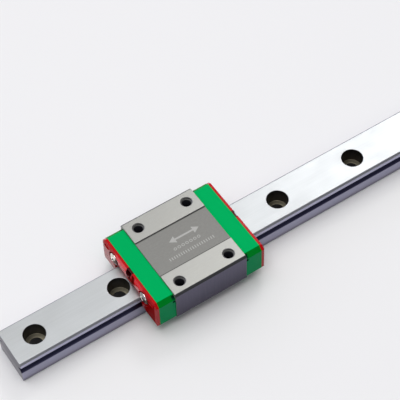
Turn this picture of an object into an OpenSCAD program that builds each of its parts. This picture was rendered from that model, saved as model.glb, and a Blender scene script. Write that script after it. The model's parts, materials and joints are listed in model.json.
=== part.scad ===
// Miniature linear guide: a recirculating-ball carriage on a length of grooved rail.
// +X runs along the rail, +Y to its left and +Z up. The origin is the centre of the rail's foot.
// The carriage's front end faces -X, its rear end +X, its left side +Y and its right side -Y.

/* [Rail] */
// Width of the rail
rail_w = 12; // [11:0.25:12.5]
// Height of the rail
rail_h = 8; // [7.6:0.1:8.2]
// Number of mounting holes in the rail
rail_holes = 6; // [4:1:12]
// Distance between mounting holes
rail_pitch = 25; // [20:1:40]
// Distance from each end of the rail to its nearest hole
rail_end_gap = 7.5; // [5:0.5:10]
// Diameter of the screw holes through the rail
rail_hole_d = 3.5; // [3:0.1:4]
// Diameter of the counterbores
counterbore_d = 6; // [5:0.25:7]
// Depth of the counterbores
counterbore_depth = 4.5; // [3:0.25:5]

/* [Carriage] */
// Height of the carriage's top above the rail's foot
carriage_h = 13; // [12.6:0.1:14]
// Gap below the carriage's steel block
ground_gap = 3; // [2.6:0.1:3.4]
// Width of the steel block
block_w = 27; // [26.6:0.1:30]
// Length of the steel block
block_l = 21.7; // [20:0.1:34]
// Length of each end cap along the rail
cap_t = 4.9; // [4.6:0.1:6]
// Distance from the rail's middle to the carriage's middle, against +X
carriage_offset = 17.5; // [0:0.5:40]

/* [Top holes] */
// Spacing of the tapped holes along the rail
tap_spacing_x = 15; // [12:0.5:18]
// Spacing of the tapped holes across the rail
tap_spacing_y = 20; // [19.5:0.25:21]
// Nominal diameter of the tapped holes
tap_d = 3; // [2.5:0.25:3.5]
// Depth of the tapped holes
tap_depth = 3.5; // [3:0.25:4]

/* [Balls] */
// Diameter of the balls
ball_d = 2.381; // [2.2:0.001:2.4]
// Number of balls in each of the two circuits
ball_count = 22; // [16:1:22]
// Height of the ball rows above the rail's foot
row_z = 5.05; // [4.95:0.05:5.3]

/* [Hidden] */
$fn = 64;

front = -1;
rear = 1;
left = 1;
right = -1;
over = 1; // how far a cutting shape runs past the face that it opens

// Rail
rail_l = (rail_holes - 1) * rail_pitch + 2 * rail_end_gap;
rail_top_chamfer = 0.45;
rail_foot_chamfer = 0.3;
relief_h = 0.7; // slot at the bottom of the rail's ball groove, which clears the retainer wire
relief_depth = 1.5;

// Ball track
ball_r = ball_d / 2;
row_y = rail_w / 2 + 0.35;
track_clearance = 0.02;
track_r = ball_r + 0.13; // radius of each arc of the pointed-arch tracks
track_shift = (track_r - ball_r - track_clearance) / sqrt(2);
turn_r = 2.2; // radius of the turns, along the balls' centres
turn_y = row_y + turn_r;
return_y = row_y + 2 * turn_r;
return_bore_r = ball_r + 0.11;
turn_length = PI * turn_r;
circuit_length = 2 * block_l + 2 * turn_length;
ball_spacing = circuit_length / ball_count;

// Steel block
block_side_chamfer = 0.6;
block_foot_chamfer = 0.4;
channel_half = rail_w / 2 + 0.7;
channel_top = rail_h + 0.5;
recess_half = 6.2; // half-width of the shallow recess along the top
recess_depth = 0.25;
tap_drill_r = tap_d / 2 - 0.27;
tap_drill_depth = tap_depth + 0.6;
tap_mouth = 0.15;

// End caps
cap_half = 13.2;
cap_top = carriage_h - 0.6;
cap_foot = ground_gap + 0.2;
cap_chamfer = 1.2;
cap_foot_chamfer = 0.3;
opening_half = rail_w / 2 + 0.4;
scoop_r = track_r - 0.25; // nose that reaches into the rail's groove and lifts the balls out
turn_tube_r = ball_r + 0.08;
guide_r = 2;
guide_h = 3;
guide_clearance = 0.03;

// Notches in the caps' upper corners, beside the block
notch_l = 0.8;
corner_notch_depth = 0.9;
corner_notch_foot = cap_top - 0.95;
side_notch_depth = 0.5;
side_notch_h = 0.8;
side_notch_foot = cap_top - 2.25;

// Lubrication path
port_z = carriage_h - 2.1;
port_r = 0.9;
port_mouth_r = 1.1; // hole in the seal, in front of the port
oil_groove_w = 0.5;
oil_groove_depth = 0.45;
oil_groove_y = turn_y + 0.6;

// Cap screws
screw_y = rail_w / 2 + 1.3;
screw_z = rail_h + 1.4;
screw_shank_r = 0.8;
screw_hole_r = 1.1;
screw_tap_r = 0.85;
screw_grip = 4.2; // length of the shank inside the block
screw_head_r = 1.8;
screw_dome_h = 0.5;
screw_drive_w = 0.42;
screw_drive_l = 1.9;
screw_drive_depth = 0.6;

// End seals
seal_t = 1.15;
seal_inset = 0.05;
seal_plate_t = 0.55; // thickness at the bottom of the pockets
seal_gap = 0.1; // clearance between the seal's lip and the rail
seal_lip_w = 0.4;
seal_lip_t = 0.8;
seal_step_w = 0.9; // width of the low band round the rail, beside its flanks
seal_step_half = 4.9; // half-width of the low band over the rail
seal_step_h = 1.6; // height of the low band above the rail
top_bevel = 0.45; // how far each bevel thins the face at its edge
top_bevel_w = 1.1;
side_bevel = 0.35;
side_bevel_w = 0.5;
foot_bevel = 0.3;
foot_bevel_w = 1.5;
port_boss_r = 2.4;
port_slot_half = 1; // half-width of the slot in the seal's face above the port
screw_pocket_r = 2.3;
corner_slot_r = 0.5;
corner_slot_l = 1.3;
corner_slot_y = cap_half - 2.45;
corner_slot_z = cap_top - 1.5;
head_seat = cap_t + seal_plate_t; // the screw heads' seat, from the block's end face
screw_head_h = 1.05;

// Retainer wires
wire_r = 0.25;
wire_y = row_y - ball_r - wire_r - 0.01;
wire_leg_x = cap_t - 0.85;
wire_leg_end = opening_half + 1.1;
wire_bend_r = 0.35;
wire_hole_r = wire_r + 0.02;

// Place of a point on the left circuit, s millimetres from the front end of the loaded row
function turn_angle(s) = s / turn_r * 180 / PI;
function circuit_point(s) =
    s < block_l ? [s - block_l / 2, row_y]
    : s < block_l + turn_length ? rear_turn_point(turn_angle(s - block_l))
    : s < 2 * block_l + turn_length ? [1.5 * block_l + turn_length - s, return_y]
    : front_turn_point(turn_angle(s - 2 * block_l - turn_length));
function rear_turn_point(angle) = [block_l / 2 + turn_r * sin(angle), turn_y - turn_r * cos(angle)];
function front_turn_point(angle) = [-block_l / 2 - turn_r * sin(angle), turn_y + turn_r * cos(angle)];

// Carries a profile drawn across the rail (its x is +Y, its y is +Z) along +X, from x = 0
module along_x(length) {
    rotate([90, 0, 90])
        linear_extrude(height = length)
            children();
}

module on_carriage() {
    translate([-carriage_offset, 0, 0])
        children();
}

// Places what is drawn outwards from the block's rear end face at either end
module at_end(end) {
    on_carriage()
        mirror([end == front ? 1 : 0, 0, 0])
            translate([block_l / 2, 0, 0])
                children();
}

// Pointed-arch ball track about a ball's centre, with the point towards -x of the profile
module track_profile(gap = 0) {
    intersection() {
        translate([track_shift, track_shift])
            circle(r = track_r - gap);
        translate([track_shift, -track_shift])
            circle(r = track_r - gap);
    }
}

// The rail's cross-section, grown by a gap where a seal runs round it
module rail_section(gap = 0) {
    half = rail_w / 2 + gap;
    top = rail_h + gap;
    difference() {
        polygon([
            [-half + rail_foot_chamfer, 0], [half - rail_foot_chamfer, 0],
            [half, rail_foot_chamfer], [half, top - rail_top_chamfer],
            [half - rail_top_chamfer, top], [-half + rail_top_chamfer, top],
            [-half, top - rail_top_chamfer], [-half, rail_foot_chamfer]
        ]);
        for (side = [left, right])
            mirror([side == left ? 0 : 1, 0])
                translate([row_y, row_z])
                    track_profile(gap);
    }
}

module rail_reliefs() {
    for (side = [left, right])
        translate([side * (rail_w / 2 - relief_depth / 2 + over / 2), row_z])
            square([relief_depth + over, relief_h], center = true);
}

module rail_hole() {
    translate([0, 0, -over])
        cylinder(h = rail_h + 2 * over, d = rail_hole_d);
    translate([0, 0, rail_h - counterbore_depth])
        cylinder(h = counterbore_depth + over, d = counterbore_d);
}

module rail() {
    color("silver")
        difference() {
            translate([-rail_l / 2, 0, 0])
                along_x(rail_l)
                    difference() {
                        rail_section();
                        rail_reliefs();
                    }
            for (i = [0 : rail_holes - 1])
                translate([i * rail_pitch - rail_l / 2 + rail_end_gap, 0, 0])
                    rail_hole();
        }
}

module block_section() {
    half = block_w / 2;
    difference() {
        polygon([
            [-half + block_foot_chamfer, ground_gap], [half - block_foot_chamfer, ground_gap],
            [half, ground_gap + block_foot_chamfer], [half, carriage_h - block_side_chamfer],
            [half - block_side_chamfer, carriage_h], [-half + block_side_chamfer, carriage_h],
            [-half, carriage_h - block_side_chamfer], [-half, ground_gap + block_foot_chamfer]
        ]);
        translate([-channel_half, ground_gap - over])
            square([2 * channel_half, channel_top - ground_gap + over]);
        translate([-recess_half, carriage_h - recess_depth])
            square([2 * recess_half, recess_depth + over]);
        for (side = [left, right])
            mirror([side == left ? 0 : 1, 0]) {
                translate([row_y, row_z])
                    mirror([1, 0])
                        track_profile();
                translate([return_y, row_z])
                    circle(r = return_bore_r);
            }
    }
}

// Tapped hole at its nominal diameter, with the tap drill's hole below and a small countersink
module tapped_hole() {
    translate([0, 0, -tap_depth])
        cylinder(h = tap_depth + over, d = tap_d);
    translate([0, 0, -tap_drill_depth])
        cylinder(h = tap_drill_depth, r = tap_drill_r);
    translate([0, 0, -tap_mouth])
        cylinder(h = 2 * tap_mouth, r1 = tap_d / 2, r2 = tap_d / 2 + 2 * tap_mouth);
}

module carriage_block() {
    color("darkgray")
        difference() {
            on_carriage()
                translate([-block_l / 2, 0, 0])
                    along_x(block_l)
                        block_section();
            on_carriage()
                for (x = [-1, 1], side = [left, right])
                    translate([x * tap_spacing_x / 2, side * tap_spacing_y / 2, carriage_h])
                        tapped_hole();
            for (end = [front, rear], side = [left, right])
                at_end(end)
                    translate([-screw_grip - 0.3, side * screw_y, screw_z])
                        rotate([0, 90, 0])
                            cylinder(h = screw_grip + 0.3 + over, r = screw_tap_r);
        }
}

// Outline of the end caps and seals, drawn in by an inset
module cap_outline(inset = 0) {
    half = cap_half - inset;
    top = cap_top - inset;
    foot = cap_foot + inset;
    corner = cap_chamfer - inset * (2 - sqrt(2));
    foot_corner = max(cap_foot_chamfer - inset * (2 - sqrt(2)), 0.05);
    polygon([
        [-half + foot_corner, foot], [half - foot_corner, foot],
        [half, foot + foot_corner], [half, top - corner],
        [half - corner, top], [-half + corner, top],
        [-half, top - corner], [-half, foot + foot_corner]
    ]);
}

module cap_section() {
    difference() {
        cap_outline();
        translate([-opening_half, cap_foot - over])
            square([2 * opening_half, channel_top - cap_foot + over]);
    }
    for (side = [left, right])
        translate([side * row_y, row_z])
            circle(r = scoop_r);
}

// Ring-shaped path of the balls' turn, about the upright axis through the turn's centre
module turn_tube(r) {
    rotate_extrude()
        translate([turn_r, 0])
            circle(r = r);
}

// Grooves in the cap's inner face, from the port to both ball turns
module oil_grooves() {
    groove_top = port_z + oil_groove_w + 0.1;
    groove_foot = row_z + guide_h / 2 - 0.2;
    translate([-over, -oil_groove_y - oil_groove_w / 2, groove_top - oil_groove_w])
        cube([oil_groove_depth + over, 2 * oil_groove_y + oil_groove_w, oil_groove_w]);
    for (side = [left, right])
        translate([-over, side * oil_groove_y - oil_groove_w / 2, groove_foot])
            cube([oil_groove_depth + over, oil_groove_w, groove_top - groove_foot]);
}

module corner_notches() {
    for (side = [left, right])
        mirror([0, side == left ? 0 : 1, 0]) {
            translate([-over, cap_half - corner_notch_depth, corner_notch_foot])
                cube([notch_l + over, corner_notch_depth + over, carriage_h - corner_notch_foot]);
            translate([-over, cap_half - side_notch_depth, side_notch_foot])
                cube([notch_l + over, side_notch_depth + over, side_notch_h]);
        }
}

module end_cap(end) {
    color("mediumseagreen")
        at_end(end)
            difference() {
                along_x(cap_t)
                    cap_section();
                for (side = [left, right]) {
                    translate([0, side * turn_y, row_z]) {
                        turn_tube(turn_tube_r);
                        cylinder(h = guide_h + 2 * guide_clearance, r = guide_r + guide_clearance, center = true);
                    }
                    translate([-over, side * screw_y, screw_z])
                        rotate([0, 90, 0])
                            cylinder(h = cap_t + 2 * over, r = screw_hole_r);
                    translate([wire_leg_x, 0, row_z])
                        rotate([-90 * side, 0, 0])
                            cylinder(h = wire_leg_end + 0.05, r = wire_hole_r);
                }
                translate([-over, 0, port_z])
                    rotate([0, 90, 0])
                        cylinder(h = cap_t + 2 * over, r = port_r);
                oil_grooves();
                corner_notches();
            }
}

module screw_pockets() {
    for (side = [left, right])
        translate([side * screw_y, screw_z])
            circle(r = screw_pocket_r);
}

// Outline of the low parts of the seal's face, which lie at the plate's thickness
module seal_pockets() {
    rail_section(seal_gap + seal_step_w);
    difference() {
        translate([-seal_step_half, rail_h])
            square([2 * seal_step_half, seal_step_h]);
        translate([0, port_z])
            circle(r = port_boss_r);
    }
    screw_pockets();
    for (side = [left, right])
        mirror([side == left ? 0 : 1, 0]) {
            translate([corner_slot_y - corner_slot_l / 2, corner_slot_z - corner_slot_r])
                square([corner_slot_l, 2 * corner_slot_r]);
            for (end = [front, rear])
                translate([corner_slot_y + end * corner_slot_l / 2, corner_slot_z])
                    circle(r = corner_slot_r);
        }
}

// The seal's body: a plate, its raised face with pockets, and the lip round the rail
module seal_body() {
    along_x(seal_plate_t)
        cap_outline(seal_inset);
    along_x(seal_t)
        difference() {
            cap_outline(seal_inset);
            seal_pockets();
        }
    along_x(seal_lip_t)
        difference() {
            intersection() {
                cap_outline(seal_inset);
                rail_section(seal_gap + seal_lip_w);
            }
            screw_pockets();
        }
}

// Cuts a bevel along one straight outer edge of the seal's face. The edge's outward normal lies
// at an angle from +Y, and the edge at a distance from the rail's axis.
module edge_bevel(angle, distance, depth, width) {
    rotate([angle, 0, 0])
        translate([0, distance, 0])
            linear_extrude(height = 4 * cap_half, center = true)
                polygon([
                    [seal_t, -width], [seal_t - depth, 0], [seal_t - depth, over],
                    [seal_t + over, over], [seal_t + over, -width]
                ]);
}

module seal_bevels() {
    corner = (cap_half + cap_top - cap_chamfer) / sqrt(2) - seal_inset;
    edge_bevel(0, cap_half - seal_inset, side_bevel, side_bevel_w);
    edge_bevel(180, cap_half - seal_inset, side_bevel, side_bevel_w);
    edge_bevel(45, corner, side_bevel, side_bevel_w);
    edge_bevel(135, corner, side_bevel, side_bevel_w);
    edge_bevel(90, cap_top - seal_inset, top_bevel, top_bevel_w);
    edge_bevel(-90, -cap_foot - seal_inset, foot_bevel, foot_bevel_w);
}

// Openings right through the seal: the rail's, the screws' and the port's
module seal_openings() {
    rail_section(seal_gap);
    for (side = [left, right])
        translate([side * screw_y, screw_z])
            circle(r = screw_hole_r);
    translate([0, port_z])
        circle(r = port_mouth_r);
}

// Slot in the seal's face, from the port up through the top bevel
module port_slot() {
    translate([seal_plate_t, -port_slot_half, port_z])
        cube([seal_t, 2 * port_slot_half, cap_top - port_z + over]);
}

module end_seal(end) {
    color("crimson")
        at_end(end)
            translate([cap_t, 0, 0])
                difference() {
                    seal_body();
                    seal_bevels();
                    port_slot();
                    translate([-over, 0, 0])
                        along_x(seal_t + 2 * over)
                            seal_openings();
                }
}

// Pan-head screw with a cross recess, drawn along +X with the head's seat at x = 0
module pan_head_screw() {
    dome_r = (pow(screw_head_r, 2) + pow(screw_dome_h, 2)) / (2 * screw_dome_h);
    rotate([0, 90, 0]) {
        translate([0, 0, -head_seat - screw_grip])
            cylinder(h = head_seat + screw_grip + 0.1, r = screw_shank_r);
        difference() {
            intersection() {
                cylinder(h = screw_head_h, r = screw_head_r);
                translate([0, 0, screw_head_h - dome_r])
                    sphere(r = dome_r);
            }
            for (turn = [0, 90])
                rotate([0, 0, turn + 20])
                    translate([-screw_drive_l / 2, -screw_drive_w / 2, screw_head_h - screw_drive_depth])
                        cube([screw_drive_l, screw_drive_w, screw_drive_depth + over]);
            translate([0, 0, screw_head_h - screw_drive_depth])
                cylinder(h = screw_drive_depth + 0.1, r1 = 0.25, r2 = 0.6);
        }
    }
}

module cap_screw(end, side) {
    color("gainsboro")
        at_end(end)
            translate([head_seat, side * screw_y, screw_z])
                pan_head_screw();
}

// Steel wire along the inside of the loaded balls, with both ends bent out into the caps
module retainer_wire(side) {
    half_l = block_l / 2 + wire_leg_x - wire_bend_r;
    color("slategray")
        on_carriage()
            mirror([0, side == left ? 0 : 1, 0])
                translate([0, wire_y, row_z]) {
                    translate([-half_l, 0, 0])
                        rotate([0, 90, 0])
                            cylinder(h = 2 * half_l, r = wire_r);
                    for (end = [front, rear])
                        mirror([end == front ? 1 : 0, 0, 0]) {
                            translate([half_l, wire_bend_r, 0])
                                rotate([0, 0, -90])
                                    rotate_extrude(angle = 90)
                                        translate([wire_bend_r, 0])
                                            circle(r = wire_r);
                            translate([half_l + wire_bend_r, wire_bend_r, 0])
                                rotate([-90, 0, 0])
                                    cylinder(h = wire_leg_end - wire_y - wire_bend_r, r = wire_r);
                        }
                }
}

// Half-spool that forms the inside of a ball turn, flat against the block's end face
module return_guide(end, side) {
    color("darkseagreen")
        at_end(end)
            translate([0, side * turn_y, row_z])
                difference() {
                    cylinder(h = guide_h, r = guide_r, center = true);
                    turn_tube(turn_tube_r - 0.02);
                    translate([-guide_r - over, 0, 0])
                        cube([2 * (guide_r + over), 2 * (guide_r + over), guide_h + over], center = true);
                }
}

// The balls of one circuit whose places lie between two lengths along it
module circuit_balls(side, from, to) {
    color("lightsteelblue")
        on_carriage()
            for (i = [0 : ball_count - 1]) {
                s = (i + 0.5) * ball_spacing;
                if (s >= from && s < to)
                    translate([circuit_point(s)[0], side * circuit_point(s)[1], row_z])
                        sphere(r = ball_r);
            }
}

module load_balls(side) {
    circuit_balls(side, 0, block_l);
}

module rear_turn_balls(side) {
    circuit_balls(side, block_l, block_l + turn_length);
}

module return_balls(side) {
    circuit_balls(side, block_l + turn_length, circuit_length - turn_length);
}

module front_turn_balls(side) {
    circuit_balls(side, circuit_length - turn_length, circuit_length);
}

rail();
carriage_block();
end_cap(front);  // end_cap_front
end_cap(rear);  // end_cap_rear
end_seal(front);  // end_seal_front
end_seal(rear);  // end_seal_rear
cap_screw(front, left);  // cap_screw_front_left
cap_screw(front, right);  // cap_screw_front_right
cap_screw(rear, left);  // cap_screw_rear_left
cap_screw(rear, right);  // cap_screw_rear_right
retainer_wire(left);  // retainer_wire_left
retainer_wire(right);  // retainer_wire_right
return_guide(front, left);  // return_guide_front_left
return_guide(front, right);  // return_guide_front_right
return_guide(rear, left);  // return_guide_rear_left
return_guide(rear, right);  // return_guide_rear_right
load_balls(left);  // load_balls_left
load_balls(right);  // load_balls_right
return_balls(left);  // return_balls_left
return_balls(right);  // return_balls_right
front_turn_balls(left);  // turn_balls_front_left
front_turn_balls(right);  // turn_balls_front_right
rear_turn_balls(left);  // turn_balls_rear_left
rear_turn_balls(right);  // turn_balls_rear_right
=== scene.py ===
import json
import math

import bmesh
import bpy
from mathutils import Matrix, Vector


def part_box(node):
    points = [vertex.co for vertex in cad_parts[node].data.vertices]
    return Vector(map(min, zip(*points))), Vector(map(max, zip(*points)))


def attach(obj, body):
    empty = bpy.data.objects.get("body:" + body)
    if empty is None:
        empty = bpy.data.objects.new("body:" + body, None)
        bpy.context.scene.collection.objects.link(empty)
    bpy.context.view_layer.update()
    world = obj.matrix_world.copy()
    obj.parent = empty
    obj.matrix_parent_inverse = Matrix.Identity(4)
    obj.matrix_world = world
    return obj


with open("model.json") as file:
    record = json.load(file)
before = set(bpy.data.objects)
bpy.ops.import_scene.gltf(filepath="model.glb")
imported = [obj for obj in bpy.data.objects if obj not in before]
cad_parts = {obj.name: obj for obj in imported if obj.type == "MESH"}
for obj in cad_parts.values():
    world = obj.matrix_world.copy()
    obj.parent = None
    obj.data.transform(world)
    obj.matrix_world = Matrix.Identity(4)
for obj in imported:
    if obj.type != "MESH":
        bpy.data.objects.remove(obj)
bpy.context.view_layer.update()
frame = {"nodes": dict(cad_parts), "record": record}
MM = 0.001

# ---------------------------------------------------------------- places taken from the frame
MOUNTS = {mount["name"]: mount for mount in frame["record"]["mounts"]}
CARRIAGE_MIDDLE = Vector(MOUNTS["carriage_bolts"]["pos_m"])
RAIL_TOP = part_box("rail")[1].z
BLOCK_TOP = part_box("carriage_block")[1].z
HOLE_PITCH = MOUNTS["rail_bolts_inner"]["dims"]["spacing_x_mm"] * MM
TAPS = MOUNTS["carriage_bolts"]["dims"]
TAP_R = TAPS["hole_r_mm"] * MM
TAP_X = TAPS["spacing_x_mm"] / 2 * MM
TAP_Y = TAPS["spacing_y_mm"] / 2 * MM
PORT_Z = MOUNTS["lubrication_port_front"]["pos_m"][2]

# ---------------------------------------------------------------- camera
# The view's middle lies this far from the middle of the carriage's top
CAMERA_TARGET = CARRIAGE_MIDDLE + Vector((10.80, 8.40, 0)) * MM
CAMERA_DISTANCE = 389.9 * MM
CAMERA_FORWARD = Vector((0.30835, 0.50721, -0.80477)).normalized()
CAMERA_RIGHT = Vector((0.83579, -0.54846, -0.02543)).normalized()
CAMERA_LENS = 132.56


def add_camera():
    data = bpy.data.cameras.new("camera")
    data.sensor_width = 36
    data.lens = CAMERA_LENS
    data.clip_start = 0.01
    data.clip_end = 20
    camera = bpy.data.objects.new("camera", data)
    bpy.context.scene.collection.objects.link(camera)
    up = CAMERA_RIGHT.cross(CAMERA_FORWARD).normalized()
    turn = Matrix((CAMERA_RIGHT, up, -CAMERA_FORWARD)).transposed()
    camera.matrix_world = Matrix.Translation(CAMERA_TARGET - CAMERA_FORWARD * CAMERA_DISTANCE) @ turn.to_4x4()
    bpy.context.scene.camera = camera


add_camera()


# ---------------------------------------------------------------- studio
# Direction of the bright side of the low sky, the strengths of its two sides and of the sky overhead
BACK = (-0.2, 0.98, 0.0)
SKY_FRONT = 0.10
SKY_BACK = 0.75
SKY_HIGH = 0.66
# Heights in degrees between which the low sky gives way to the sky overhead
ROOF_START = 28
ROOF_FULL = 46
LOW_SKY_TINT = (0.93, 0.92, 1.12, 1)
HIGH_SKY_TINT = (1.0, 0.99, 0.965, 1)
OVERHEAD_TINT = (0.985, 0.99, 1.0)
FLOOR_SIZE = 6
FLOOR_DROP = 0.02 * MM
FLOOR_PAINT = (0.88, 0.88, 0.885, 1)


def add_floor():
    bpy.ops.mesh.primitive_plane_add(size=FLOOR_SIZE, location=(0, 0, -FLOOR_DROP))
    floor = bpy.context.object
    floor.name = "floor"
    paint = bpy.data.materials.new("floor")
    paint.use_nodes = True
    shader = paint.node_tree.nodes["Principled BSDF"]
    shader.inputs["Base Color"].default_value = FLOOR_PAINT
    shader.inputs["Roughness"].default_value = 0.7
    shader.inputs["Specular IOR Level"].default_value = 0.2
    floor.data.materials.append(paint)


def add_softbox(name, place, size, power, colour=(1, 1, 1)):
    """An area light at a place given from the carriage's middle, in metres, that faces the carriage."""
    data = bpy.data.lights.new(name, "AREA")
    data.shape = "RECTANGLE"
    data.size, data.size_y = size
    data.energy = power
    data.color = colour
    light = bpy.data.objects.new(name, data)
    light.location = CARRIAGE_MIDDLE + Vector(place)
    light.rotation_mode = "QUATERNION"
    light.rotation_quaternion = Vector(place).to_track_quat("Z", "Y")
    bpy.context.scene.collection.objects.link(light)


def add_sky():
    """The walls of a light tent, dim and cool in front and brighter behind, under its warm roof."""
    world = bpy.data.worlds.new("studio")
    world.use_nodes = True
    tree = world.node_tree
    background = tree.nodes["Background"]
    direction = tree.nodes.new("ShaderNodeTexCoord").outputs["Generated"]
    split = tree.nodes.new("ShaderNodeSeparateXYZ")
    tree.links.new(direction, split.inputs["Vector"])
    across = tree.nodes.new("ShaderNodeVectorMath")
    across.operation = "DOT_PRODUCT"
    across.inputs[1].default_value = BACK
    tree.links.new(direction, across.inputs[0])
    behind = tree.nodes.new("ShaderNodeMapRange")
    behind.interpolation_type = "SMOOTHSTEP"
    behind.inputs["From Min"].default_value = 0.0
    behind.inputs["From Max"].default_value = 0.8
    behind.inputs["To Min"].default_value = SKY_FRONT
    behind.inputs["To Max"].default_value = SKY_BACK
    tree.links.new(across.outputs["Value"], behind.inputs["Value"])
    roof = tree.nodes.new("ShaderNodeMapRange")
    roof.interpolation_type = "SMOOTHSTEP"
    roof.inputs["From Min"].default_value = math.sin(math.radians(ROOF_START))
    roof.inputs["From Max"].default_value = math.sin(math.radians(ROOF_FULL))
    tree.links.new(split.outputs["Z"], roof.inputs["Value"])
    strength = tree.nodes.new("ShaderNodeMix")
    strength.data_type = "FLOAT"
    tree.links.new(roof.outputs["Result"], strength.inputs[0])
    tree.links.new(behind.outputs["Result"], strength.inputs[2])
    strength.inputs[3].default_value = SKY_HIGH
    tree.links.new(strength.outputs[0], background.inputs["Strength"])
    tint = tree.nodes.new("ShaderNodeMix")
    tint.data_type = "RGBA"
    tree.links.new(roof.outputs["Result"], tint.inputs[0])
    tint.inputs[6].default_value = LOW_SKY_TINT
    tint.inputs[7].default_value = HIGH_SKY_TINT
    tree.links.new(tint.outputs[2], background.inputs["Color"])
    bpy.context.scene.world = world


def add_studio():
    add_floor()
    add_sky()
    add_softbox("overhead", place=(-0.08, 0.03, 0.80), size=(0.62, 0.62), power=3.05, colour=OVERHEAD_TINT)
    add_softbox("sheen", place=(0.62, 0.56, 0.92), size=(0.35, 0.35), power=1.75)
    bpy.context.scene.view_settings.view_transform = "Standard"


add_studio()


# ---------------------------------------------------------------- materials
class Material:
    """One material's node tree, built by short calls whose values may be numbers, colours or sockets."""

    def __init__(self, name, roughness=0.4, metallic=0.0, specular=0.5):
        self.material = bpy.data.materials.new(name)
        self.material.use_nodes = True
        self.tree = self.material.node_tree
        self.shader = self.tree.nodes["Principled BSDF"]
        self.set("Roughness", roughness)
        self.set("Metallic", metallic)
        self.set("Specular IOR Level", specular)
        self.place = self.add("ShaderNodeTexCoord").outputs["Object"]
        split = self.add("ShaderNodeSeparateXYZ", {"Vector": self.place})
        self.x, self.y, self.z = split.outputs
        facing = self.add("ShaderNodeNewGeometry").outputs["Normal"]
        split = self.add("ShaderNodeSeparateXYZ", {"Vector": facing})
        self.facing_x, self.facing_y, self.facing_z = split.outputs

    def add(self, kind, inputs=None, **settings):
        node = self.tree.nodes.new(kind)
        for key, value in settings.items():
            setattr(node, key, value)
        for key, value in (inputs or {}).items():
            self.put(node.inputs[key], value)
        return node

    def put(self, socket, value):
        if isinstance(value, bpy.types.NodeSocket):
            self.tree.links.new(value, socket)
        elif isinstance(value, tuple) and len(value) == 3 and len(socket.default_value) == 4:
            socket.default_value = (*value, 1)
        else:
            socket.default_value = value

    def set(self, name, value):
        self.put(self.shader.inputs[name], value)

    def math(self, operation, *values):
        node = self.add("ShaderNodeMath", dict(enumerate(values)), operation=operation)
        return node.outputs[0]

    def plus(self, a, b):
        return self.math("ADD", a, b)

    def minus(self, a, b):
        return self.math("SUBTRACT", a, b)

    def larger(self, a, b):
        return self.math("MAXIMUM", a, b)

    def size(self, value):
        return self.math("ABSOLUTE", value)

    def times(self, *values):
        result = values[0]
        for value in values[1:]:
            result = self.math("MULTIPLY", result, value)
        return result

    def distance(self, a, b):
        """Length of the vector with the parts a and b."""
        return self.math("SQRT", self.plus(self.times(a, a), self.times(b, b)))

    def ramp(self, value, start, end, low=0.0, high=1.0):
        """low up to start, high from end, and smooth between them; start may be the larger."""
        node = self.add(
            "ShaderNodeMapRange",
            {"Value": value, "From Min": start, "From Max": end, "To Min": low, "To Max": high},
            interpolation_type="SMOOTHSTEP",
        )
        return node.outputs["Result"]

    def inside(self, value, low, high, soft):
        """1 between low and high, 0 outside, smooth over soft at each side."""
        rise = self.ramp(value, low - soft / 2, low + soft / 2)
        fall = self.ramp(value, high + soft / 2, high - soft / 2)
        return self.times(rise, fall)

    def noise(self, per_mm, detail=3.0, rough=0.55, shift=0.0):
        """Noise with the given number of grains per millimetre along X, Y and Z, from 0 to 1."""
        scaled = self.add(
            "ShaderNodeVectorMath",
            {0: self.place, 1: tuple(count / MM for count in per_mm)},
            operation="MULTIPLY",
        )
        moved = self.add(
            "ShaderNodeVectorMath", {0: scaled.outputs[0], 1: (shift, shift, shift)}, operation="ADD"
        )
        node = self.add(
            "ShaderNodeTexNoise",
            {"Vector": moved.outputs[0], "Scale": 1.0, "Detail": detail, "Roughness": rough},
        )
        return node.outputs[0]

    def mix(self, mask, off, on):
        """A colour between off and on."""
        node = self.add("ShaderNodeMix", data_type="RGBA")
        self.put(node.inputs["Factor"], mask)
        for socket, value in zip([s for s in node.inputs if s.type == "RGBA"], (off, on)):
            self.put(socket, value)
        return next(s for s in node.outputs if s.type == "RGBA")

    def blend(self, mask, off, on):
        """A number between off and on."""
        node = self.add("ShaderNodeMix", data_type="FLOAT")
        self.put(node.inputs[0], mask)
        self.put(node.inputs[2], off)
        self.put(node.inputs[3], on)
        return node.outputs[0]

    def shade(self, colour, amount):
        """The colour made lighter or darker by a factor."""
        node = self.add("ShaderNodeVectorMath", {0: colour, "Scale": amount}, operation="SCALE")
        return node.outputs[0]

    def bump(self, height, depth, strength):
        """A relief of the height from 0 to 1 times a depth in metres."""
        inputs = {"Height": height, "Distance": depth, "Strength": strength}
        return self.add("ShaderNodeBump", inputs).outputs["Normal"]


# Where the rail's features lie
COUNTERBORE_R = 3.0 * MM
RAIL_HOLE_R = 1.75 * MM
SEAT_Z = 3.5 * MM
GROOVE_Z = 5.05 * MM
GROOVE_HALF = 1.15 * MM


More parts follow.
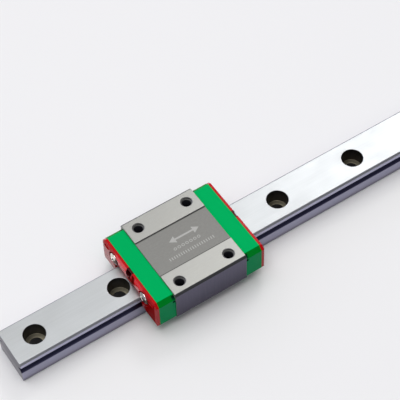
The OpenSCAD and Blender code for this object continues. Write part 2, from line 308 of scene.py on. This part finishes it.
def rail_steel():
    """Ground steel with a smoother groove, painted shade on its chamfer, sides and groove, painted light and
    shade on its ends and in its counterbores, and random stains in the counterbores.
    """
    m = Material("rail_steel", metallic=1.0)
    lines = m.noise((0.05, 14, 14), detail=4)
    above_groove = m.ramp(m.z, RAIL_TOP - 0.8 * MM, RAIL_TOP - 0.6 * MM)
    up = m.times(m.ramp(m.facing_z, 0.8, 0.95), above_groove)
    end = m.ramp(m.size(m.facing_x), 0.6, 0.9)
    groove = m.inside(m.z, GROOVE_Z - GROOVE_HALF, GROOVE_Z + GROOVE_HALF, 0.1 * MM)

    colour = rail_side(m, groove)
    # Painted shade: the chamfer is a little darker than the top.
    chamfer = m.times(m.inside(m.facing_z, 0.35, 0.9, 0.1), above_groove)
    colour = m.mix(chamfer, colour, (0.42, 0.43, 0.46))
    colour = m.mix(up, colour, (0.472, 0.489, 0.50))
    # Painted light and shade: the ends are darker than the top, and lighter towards their foot.
    low = m.ramp(m.z, 4.5 * MM, 2.5 * MM)
    colour = m.mix(end, colour, m.mix(low, (0.20, 0.196, 0.215), (0.31, 0.305, 0.33)))
    under = m.ramp(m.facing_z, -0.8, -0.95)
    colour = m.mix(under, colour, (0.40, 0.40, 0.405))
    streaks = m.noise((0.02, 2.2, 2.2), detail=3, shift=7)
    tone = m.plus(m.blend(lines, 0.90, 1.06), m.blend(streaks, -0.05, 0.05))
    hole, bore = rail_hole(m)
    m.set("Base Color", m.mix(hole, m.shade(colour, tone), bore))

    cloud = m.noise((0.12, 0.2, 0.2), detail=2, shift=3)
    rough = m.blend(up, m.blend(groove, 0.42, 0.28), m.blend(cloud, 0.30, 0.42))
    m.set("Roughness", m.blend(end, rough, 0.5))
    m.set("Normal", m.bump(lines, 0.004 * MM, 0.6))
    return m.material


def rail_side(m, groove):
    """Colour of the rail's sides, with painted light and shade: lighter above the groove, darker at the foot
    as a painted contact shadow, nearly black in the groove as painted shade, a painted dark line below the
    chamfer, and a violet tint that is a painted reflection of bluish shade.
    """
    # Painted shadow: the foot is darker. The violet tint of both colours is a painted reflection of bluish
    # shade.
    below = m.mix(m.ramp(m.z, 0.9 * MM, 1.6 * MM), (0.27, 0.265, 0.335), (0.378, 0.37, 0.485))
    flat = m.mix(m.ramp(m.z, GROOVE_Z - 0.2 * MM, GROOVE_Z + 0.2 * MM), below, (0.47, 0.465, 0.61))
    # Painted shade: the groove is nearly black.
    side = m.mix(groove, flat, (0.036, 0.037, 0.075))
    # Painted shade: a dark line just below the chamfer.
    line = m.inside(m.z, RAIL_TOP - 0.68 * MM, RAIL_TOP - 0.30 * MM, 0.1 * MM)
    return m.mix(m.times(line, m.ramp(m.facing_z, 0.5, 0.3)), side, (0.20, 0.205, 0.235))


def rail_hole(m):
    """Mask of the rail's counterbored holes, and the colour inside them: walls and through-hole painted dark
    as shade, and a seat in painted shadow at one side and painted light at the other, with random stains.
    """
    cell = m.math("FRACT", m.math("DIVIDE", m.x, HOLE_PITCH))
    along = m.times(m.minus(cell, 0.5), HOLE_PITCH)
    hole_r = m.blend(m.ramp(m.z, SEAT_Z - 0.10 * MM, SEAT_Z - 0.03 * MM), RAIL_HOLE_R, COUNTERBORE_R)
    hole = m.times(
        m.ramp(m.minus(m.distance(along, m.y), hole_r), 0.06 * MM, 0.01 * MM),
        m.inside(m.z, 0.04 * MM, RAIL_TOP - 0.085 * MM, 0.07 * MM),
    )
    stain = m.noise((0.5, 0.5, 0.5), shift=11)
    # Painted shade: the walls are nearly black, varied by the stains.
    wall = m.mix(stain, (0.026, 0.024, 0.028), (0.050, 0.046, 0.048))
    # Painted light and shadow: the seat runs from dark to light along the rail.
    seat = m.mix(m.ramp(along, -1.5 * MM, 2.2 * MM), (0.075, 0.068, 0.056), (0.46, 0.42, 0.31))
    seat = m.mix(stain, seat, (0.20, 0.18, 0.13))
    bore = m.mix(m.ramp(m.facing_z, 0.6, 0.9), wall, seat)
    # Painted shade: the through-hole below the seat is nearly black.
    below_seat = m.ramp(m.z, SEAT_Z - 0.02 * MM, SEAT_Z - 0.3 * MM)
    return hole, m.mix(below_seat, bore, (0.03, 0.028, 0.03))


# Half-width of the shallow recess in the block's top
RECESS_HALF = 6.2 * MM
# How far below the block's top the tapped holes' painted light and shade reach
TAP_DEPTH = 5.0 * MM


def block_steel():
    """Ground strips beside a matte recess with an etched mark, over drawn sides; painted shade darkens the
    sides, chamfers, far strip, step and holes, and painted light brightens the ends and the holes' mouths.
    """
    m = Material("block_steel", metallic=1.0)
    x = m.minus(m.x, CARRIAGE_MIDDLE.x)
    width = m.size(m.y)
    up = m.ramp(m.facing_z, 0.85, 0.97)
    recess = m.times(up, m.ramp(width, RECESS_HALF + 0.04 * MM, RECESS_HALF - 0.04 * MM))
    lines = m.noise((0.06, 12, 12), detail=4)
    mottle = m.noise((1.2, 2.5, 2.5), detail=4, rough=0.65, shift=5)

    drawn = m.noise((1.6, 0.08, 0.08), detail=4, shift=9)
    # Painted shade: the sides are dark and darker towards the bottom, with a violet tint that is a painted
    # reflection of bluish shade.
    side = m.mix(drawn, (0.083, 0.078, 0.112), (0.118, 0.110, 0.155))
    side = m.shade(side, m.ramp(m.z, 1.0 * MM, 12.0 * MM, 0.82, 1.30))
    end = m.ramp(m.size(m.facing_x), 0.5, 0.8)
    ground_tone = m.plus(m.blend(lines, 0.92, 1.06), m.blend(mottle, -0.06, 0.06))
    ground = m.shade((0.376, 0.376, 0.356), ground_tone)
    # Painted shade: the far strip is a little darker than the near one.
    ground = m.shade(ground, m.ramp(m.y, 0.0, 8.0 * MM, 1.0, 0.94))
    matte_tone = m.plus(m.blend(mottle, 0.86, 1.14), m.blend(lines, -0.03, 0.03))
    matte = m.shade((0.228, 0.227, 0.214), matte_tone)
    mark = m.times(etched_mark(m, x), m.blend(mottle, 0.55, 1.0))
    matte = m.mix(mark, matte, (0.42, 0.42, 0.405))
    # Painted highlight: the ends are lighter than the sides, for a light line along the caps.
    colour = m.mix(up, m.mix(end, side, (0.36, 0.36, 0.35)), ground)
    colour = m.mix(recess, colour, matte)

    # Painted shade: the long top chamfers are dark.
    slope = m.times(m.ramp(m.facing_z, 0.25, 0.5), m.ramp(m.facing_z, 0.95, 0.85))
    slope = m.times(slope, m.ramp(m.size(m.facing_y), 0.3, 0.5))
    colour = m.mix(slope, colour, (0.085, 0.085, 0.09))
    # Painted shadow: a dark line in the recess along each step.
    step = m.inside(width, RECESS_HALF - 0.30 * MM, RECESS_HALF + 0.04 * MM, 0.08 * MM)
    colour = m.mix(m.times(up, step), colour, (0.09, 0.09, 0.085))
    from_hole = m.distance(m.minus(m.size(x), TAP_X), m.minus(width, TAP_Y))
    hole = m.times(
        m.ramp(from_hole, TAP_R + 0.20 * MM, TAP_R + 0.15 * MM),
        m.inside(m.z, BLOCK_TOP - TAP_DEPTH, BLOCK_TOP - 0.035 * MM, 0.05 * MM),
    )
    # Painted light and shade in the tapped holes: lighter near the mouth, where the thread flanks catch the
    # light, and nearly black deeper down.
    deep = m.ramp(m.z, BLOCK_TOP - 0.25 * MM, BLOCK_TOP - 1.15 * MM)
    colour = m.mix(hole, colour, m.mix(deep, (0.38, 0.38, 0.365), (0.015, 0.015, 0.02)))
    m.set("Base Color", colour)

    rough = m.blend(up, 0.55, m.blend(recess, m.blend(mottle, 0.33, 0.43), 0.55))
    m.set("Roughness", rough)
    m.set("Normal", m.bump(m.plus(lines, m.times(mottle, 0.8)), 0.004 * MM, 0.5))
    return m.material


# Places of the mark's three lines across the recess, and its middle and half-length along it
ARROW_Y = 1.6 * MM
RINGS_Y = -1.0 * MM
TICKS_Y = -3.2 * MM
MARK_X = 1.3 * MM
ARROW_HALF = 4.6 * MM
ARROW_HEAD = 1.9 * MM
RING_PITCH = 1.2 * MM
TICK_PITCH = 0.7 * MM
TICK_HALF = 0.45 * MM


def etched_mark(m, x):
    """Mask of a plain mark: a double-headed travel arrow, a row of rings and a row of short ticks."""
    sharp = 0.06 * MM
    from_line = m.size(m.minus(m.y, ARROW_Y))
    from_tip = m.minus(ARROW_HALF, m.size(m.minus(x, MARK_X)))
    shaft = m.times(m.ramp(from_line, 0.3 * MM, 0.24 * MM), m.ramp(from_tip, 1.4 * MM, 1.5 * MM))
    head = m.times(
        m.ramp(m.minus(m.times(from_tip, 0.62), from_line), 0.0, sharp),
        m.ramp(from_tip, ARROW_HEAD, ARROW_HEAD - sharp),
    )
    from_ring = m.distance(repeat(m, x, RING_PITCH), m.minus(m.y, RINGS_Y))
    ring = m.times(
        m.inside(from_ring, 0.27 * MM, 0.45 * MM, sharp),
        m.inside(x, MARK_X - 4 * RING_PITCH, MARK_X + 3 * RING_PITCH, sharp),
    )
    tick = m.times(
        m.ramp(m.size(repeat(m, x, TICK_PITCH)), 0.15 * MM, 0.09 * MM),
        m.inside(m.y, TICKS_Y - TICK_HALF, TICKS_Y + TICK_HALF, sharp),
        m.inside(x, MARK_X - 11 * TICK_PITCH, MARK_X + 9 * TICK_PITCH, sharp),
    )
    return m.larger(m.larger(shaft, head), m.larger(ring, tick))


def repeat(m, value, pitch):
    """Signed distance from the middle of the repeat in which the value lies."""
    cell = m.math("FRACT", m.math("DIVIDE", m.plus(value, 100 * pitch), pitch))
    return m.times(m.minus(cell, 0.5), pitch)


def moulded_plastic(name, colours, roughness, specular, grain_depth):
    """Injection-moulded plastic with a fine grain and faint flow clouds, in copies of its colour on top,
    edges and sides that are painted light and shade.
    """
    top, edge, side = colours
    m = Material(name, roughness=roughness, specular=specular)
    grain = m.noise((9, 9, 9), detail=2)
    cloud = m.noise((0.25, 0.12, 0.2), detail=3, shift=4)
    # Painted light and shade: top, edges and sides each take their own colour.
    colour = m.mix(m.ramp(m.facing_z, 0.2, 0.5), side, edge)
    colour = m.mix(m.ramp(m.facing_z, 0.8, 0.97), colour, top)
    colour = m.shade(colour, m.plus(m.blend(cloud, 0.94, 1.06), m.blend(grain, -0.03, 0.03)))
    m.set("Roughness", m.blend(cloud, roughness - 0.05, roughness + 0.07))
    m.set("Normal", m.bump(grain, grain_depth, 0.5))
    return m, colour


# The caps' corner notches lie nearer the carriage's middle than NOTCH_X and farther to the side than NOTCH_Y.
# Their walls, painted dark as shadow, lie at most NOTCH_WALL beyond NOTCH_Y, which leaves out the caps'
# sides.
NOTCH_X = 11.66 * MM
NOTCH_Y = 12.18 * MM
NOTCH_WALL = 0.6 * MM


def cap_plastic(name):
    """Satin green, with painted shadow in the corner notches and painted shade round the port."""
    # Top, edge and side colours: the darker edge and side greens are painted shade.
    colours = ((0.0, 0.42, 0.106), (0.0, 0.21, 0.016), (0.0, 0.25, 0.082))
    m, colour = moulded_plastic(name, colours, 0.5, 0.08, 0.010 * MM)
    width = m.size(m.y)
    wall = m.ramp(width, NOTCH_Y + NOTCH_WALL, NOTCH_Y + NOTCH_WALL - 0.05 * MM)
    notch = m.times(
        m.ramp(m.size(m.minus(m.x, CARRIAGE_MIDDLE.x)), NOTCH_X, NOTCH_X - 0.04 * MM),
        m.ramp(width, NOTCH_Y, NOTCH_Y + 0.04 * MM),
        m.larger(wall, m.ramp(m.facing_z, 0.6, 0.8)),
    )
    # Painted shadow: the corner notches are nearly black.
    colour = m.mix(notch, colour, (0.0, 0.05, 0.02))
    # Painted shade: round the port, where the seal's slot looks in, the face is nearly black.
    port_shade = m.times(
        m.ramp(m.distance(m.y, m.minus(m.z, PORT_Z)), 2.4 * MM, 1.9 * MM),
        m.ramp(m.size(m.facing_x), 0.6, 0.9),
    )
    m.set("Base Color", m.mix(port_shade, colour, (0.012, 0.014, 0.010)))
    m.set("Specular Tint", (0.0, 1.0, 0.5))
    return m.material


# Half-width of the part round the seal's port and slot that is painted dark as shade
PORT_HALF = 1.1 * MM


def seal_plastic():
    """Red: glossy and painted lighter over the rail, less glossy on the left leg, dull and painted darker on
    the right leg, with painted shade beside and round the port.
    """
    # Top, edge and side colours: the darker side red is painted shade.
    colours = ((0.48, 0.002, 0.003), (0.50, 0.004, 0.006), (0.36, 0.003, 0.004))
    m, colour = moulded_plastic("seal_plastic", colours, 0.15, 0.3, 0.003 * MM)
    out = m.size(m.facing_x)
    width = m.size(m.y)
    face = m.ramp(out, 0.6, 0.9)
    middle = m.times(face, m.ramp(width, 7.0 * MM, 6.0 * MM))
    leg = m.times(m.ramp(out, 0.95, 0.975), m.ramp(m.y, -7.0 * MM, -8.0 * MM))
    # Painted shade: part of a ring round the port, on its -Y side, is dark red.
    shaded = m.times(
        m.inside(m.distance(m.y, m.minus(m.z, PORT_Z)), 1.6 * MM, 2.9 * MM, 0.3 * MM),
        m.ramp(m.y, -0.9 * MM, -1.5 * MM),
        face,
    )
    # Painted shade: the port and the slot above it are nearly black.
    port = m.times(
        m.ramp(width, PORT_HALF + 0.15 * MM, PORT_HALF),
        m.ramp(m.z, PORT_Z - PORT_HALF - 0.2 * MM, PORT_Z - PORT_HALF),
    )
    # Painted light: the face over the rail is brighter red, for light bounced off the rail's top.
    colour = m.mix(middle, colour, (0.84, 0.010, 0.016))
    # Painted shade: the right leg is darker red.
    colour = m.mix(leg, colour, (0.25, 0.001, 0.002))
    colour = m.mix(shaded, colour, (0.14, 0.003, 0.002))
    m.set("Base Color", m.mix(port, colour, (0.06, 0.001, 0.002)))
    m.set("Specular IOR Level", m.blend(m.larger(leg, shaded), m.blend(middle, 0.25, 1.0), 0.001))
    right = m.inside(m.y, -6.7 * MM, -2.8 * MM, 0.4 * MM)
    tint = m.mix(right, (1.0, 0.6, 0.65), (1.0, 1.0, 1.0))
    m.set("Specular Tint", m.mix(leg, tint, (1.0, 0.05, 0.06)))
    return m.material


# Places of the cap screws' heads: across the carriage, above the rail's foot, and, for their crowns,
# along the rail from the carriage's middle. DRIVE_R lies just outside the arms of the cross recess.
SCREW_Y = 7.3 * MM
SCREW_Z = 9.4 * MM
SCREW_FACE_X = 17.35 * MM
DRIVE_R = 1.0 * MM


def plated_steel():
    """Bright, partly yellowed plating, with painted shade on each head's lower right and in its cross recess.
    """
    m = Material("screw_steel", metallic=1.0)
    cloud = m.noise((1.5, 1.5, 1.5), detail=3)
    across = m.minus(m.y, m.times(m.math("SIGN", m.y), SCREW_Y))
    height = m.minus(m.z, SCREW_Z)
    slant = m.plus(m.times(across, 0.8), m.times(height, 0.6))
    patch = m.times(m.minus(cloud, 0.5), 2.0 * MM)
    # Painted shade on each head's lower -Y side, with a ragged edge.
    head_shade = m.ramp(m.plus(slant, patch), -0.1 * MM, -0.45 * MM)
    from_middle = m.size(m.minus(m.x, CARRIAGE_MIDDLE.x))
    # Painted shade: the cross recess is dark, and rougher.
    recess = m.times(
        m.ramp(from_middle, SCREW_FACE_X - 0.20 * MM, SCREW_FACE_X - 0.36 * MM),
        m.ramp(m.distance(across, height), DRIVE_R + 0.1 * MM, DRIVE_R),
    )
    plating = m.mix(m.ramp(cloud, 0.35, 0.60), (0.60, 0.54, 0.42), (1.0, 0.97, 0.93))
    plating = m.mix(head_shade, plating, (0.10, 0.065, 0.05))
    m.set("Base Color", m.mix(recess, plating, (0.07, 0.05, 0.045)))
    m.set("Roughness", m.blend(recess, m.blend(cloud, 0.12, 0.24), 0.6))
    return m.material


def polished_steel():
    m = Material("ball_steel", metallic=1.0)
    cloud = m.noise((2, 2, 2), detail=2)
    m.set("Base Color", m.mix(cloud, (0.76, 0.77, 0.79), (0.84, 0.85, 0.87)))
    m.set("Roughness", m.blend(cloud, 0.06, 0.12))
    return m.material


def drawn_wire():
    m = Material("wire_steel", metallic=1.0)
    lines = m.noise((0.1, 20, 20), detail=2)
    m.set("Base Color", m.mix(lines, (0.5, 0.5, 0.51), (0.66, 0.66, 0.67)))
    m.set("Roughness", m.blend(lines, 0.25, 0.4))
    return m.material


MATERIALS = {
    "rail_steel": rail_steel(),
    "block_steel": block_steel(),
    "cap_plastic": cap_plastic("cap_plastic"),
    "guide_plastic": cap_plastic("guide_plastic"),
    "seal_plastic": seal_plastic(),
    "screw_steel": plated_steel(),
    "ball_steel": polished_steel(),
    "wire_steel": drawn_wire(),
}

# ---------------------------------------------------------------- CAD nodes: materials and softened edges
# Width of the rounded edges, by the first words of the node's name. Wider ones on the block, caps
# and seals make some of their flat faces fold over themselves.
EDGE = {
    "rail": 0.10 * MM,
    "carriage_block": 0.07 * MM,
    "end_cap": 0.05 * MM,
    "end_seal": 0.045 * MM,
    "cap_screw": 0.03 * MM,
}
WELD_GAP = 0.0005 * MM
FLAT_ANGLE = math.radians(0.6)
SHARP_ANGLE = math.radians(32)


def soften(piece, width):
    """Joins the CAD mesh's split vertices, dissolves its flat faces' triangles and rounds its edges."""
    weld = piece.modifiers.new("weld", "WELD")
    weld.merge_threshold = WELD_GAP
    flat = piece.modifiers.new("flat", "DECIMATE")
    flat.decimate_type = "DISSOLVE"
    flat.angle_limit = FLAT_ANGLE
    bevel = piece.modifiers.new("edges", "BEVEL")
    bevel.width = width
    bevel.segments = 2
    bevel.limit_method = "ANGLE"
    bevel.angle_limit = SHARP_ANGLE
    bevel.use_clamp_overlap = False
    normals = piece.modifiers.new("normals", "WEIGHTED_NORMAL")
    normals.keep_sharp = False
    normals.weight = 100


def dress_cad_nodes():
    slots = {entry["node"]: entry["material_slot"] for entry in frame["record"]["subparts"]}
    for name, piece in frame["nodes"].items():
        piece.data.materials.clear()
        piece.data.materials.append(MATERIALS[slots[name]])
        for start, width in EDGE.items():
            if name.startswith(start):
                soften(piece, width)


dress_cad_nodes()


# ---------------------------------------------------------------- threads of the four tapped holes
THREAD_PITCH = 0.5 * MM
THREAD_DEPTH = 0.27 * MM
THREAD_LENGTH = 3.3 * MM
THREAD_START = 0.32 * MM
THREAD_FOOT_HALF = 0.22 * MM
THREAD_STEPS = 32


def add_thread(name, middle):
    """A helical ridge of triangular section down the wall of one tapped hole."""
    mesh = bmesh.new()
    count = round(THREAD_LENGTH / THREAD_PITCH * THREAD_STEPS)
    base = TAP_R + 0.02 * MM
    crest = TAP_R - THREAD_DEPTH
    half_turn = THREAD_STEPS / 2
    sections = []
    for i in range(count + 1):
        angle = 2 * math.pi * i / THREAD_STEPS
        z = -THREAD_START - THREAD_PITCH * i / THREAD_STEPS
        # The ridge grows from and fades into the wall over half a turn at each end
        rise = min(1.0, i / half_turn, (count - i) / half_turn)
        inner = base - (base - crest) * max(rise, 0.02)
        section = []
        for r, h in ((base, THREAD_FOOT_HALF), (inner, 0.0), (base, -THREAD_FOOT_HALF)):
            place = Vector((r * math.cos(angle), r * math.sin(angle), z + h))
            section.append(mesh.verts.new(middle + place))
        sections.append(section)
    for a, b in zip(sections, sections[1:]):
        for i in range(3):
            j = (i + 1) % 3
            mesh.faces.new((a[i], a[j], b[j], b[i]))
    mesh.faces.new(sections[0])
    mesh.faces.new(reversed(sections[-1]))
    bmesh.ops.recalc_face_normals(mesh, faces=mesh.faces)
    data = bpy.data.meshes.new(name)
    mesh.to_mesh(data)
    mesh.free()
    data.materials.append(MATERIALS["block_steel"])
    thread = bpy.data.objects.new(name, data)
    bpy.context.scene.collection.objects.link(thread)
    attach(thread, "carriage")


for along, end in ((-TAP_X, "front"), (TAP_X, "rear")):
    for across, side in ((TAP_Y, "left"), (-TAP_Y, "right")):
        add_thread(f"thread_{end}_{side}", CARRIAGE_MIDDLE + Vector((along, across, 0)))
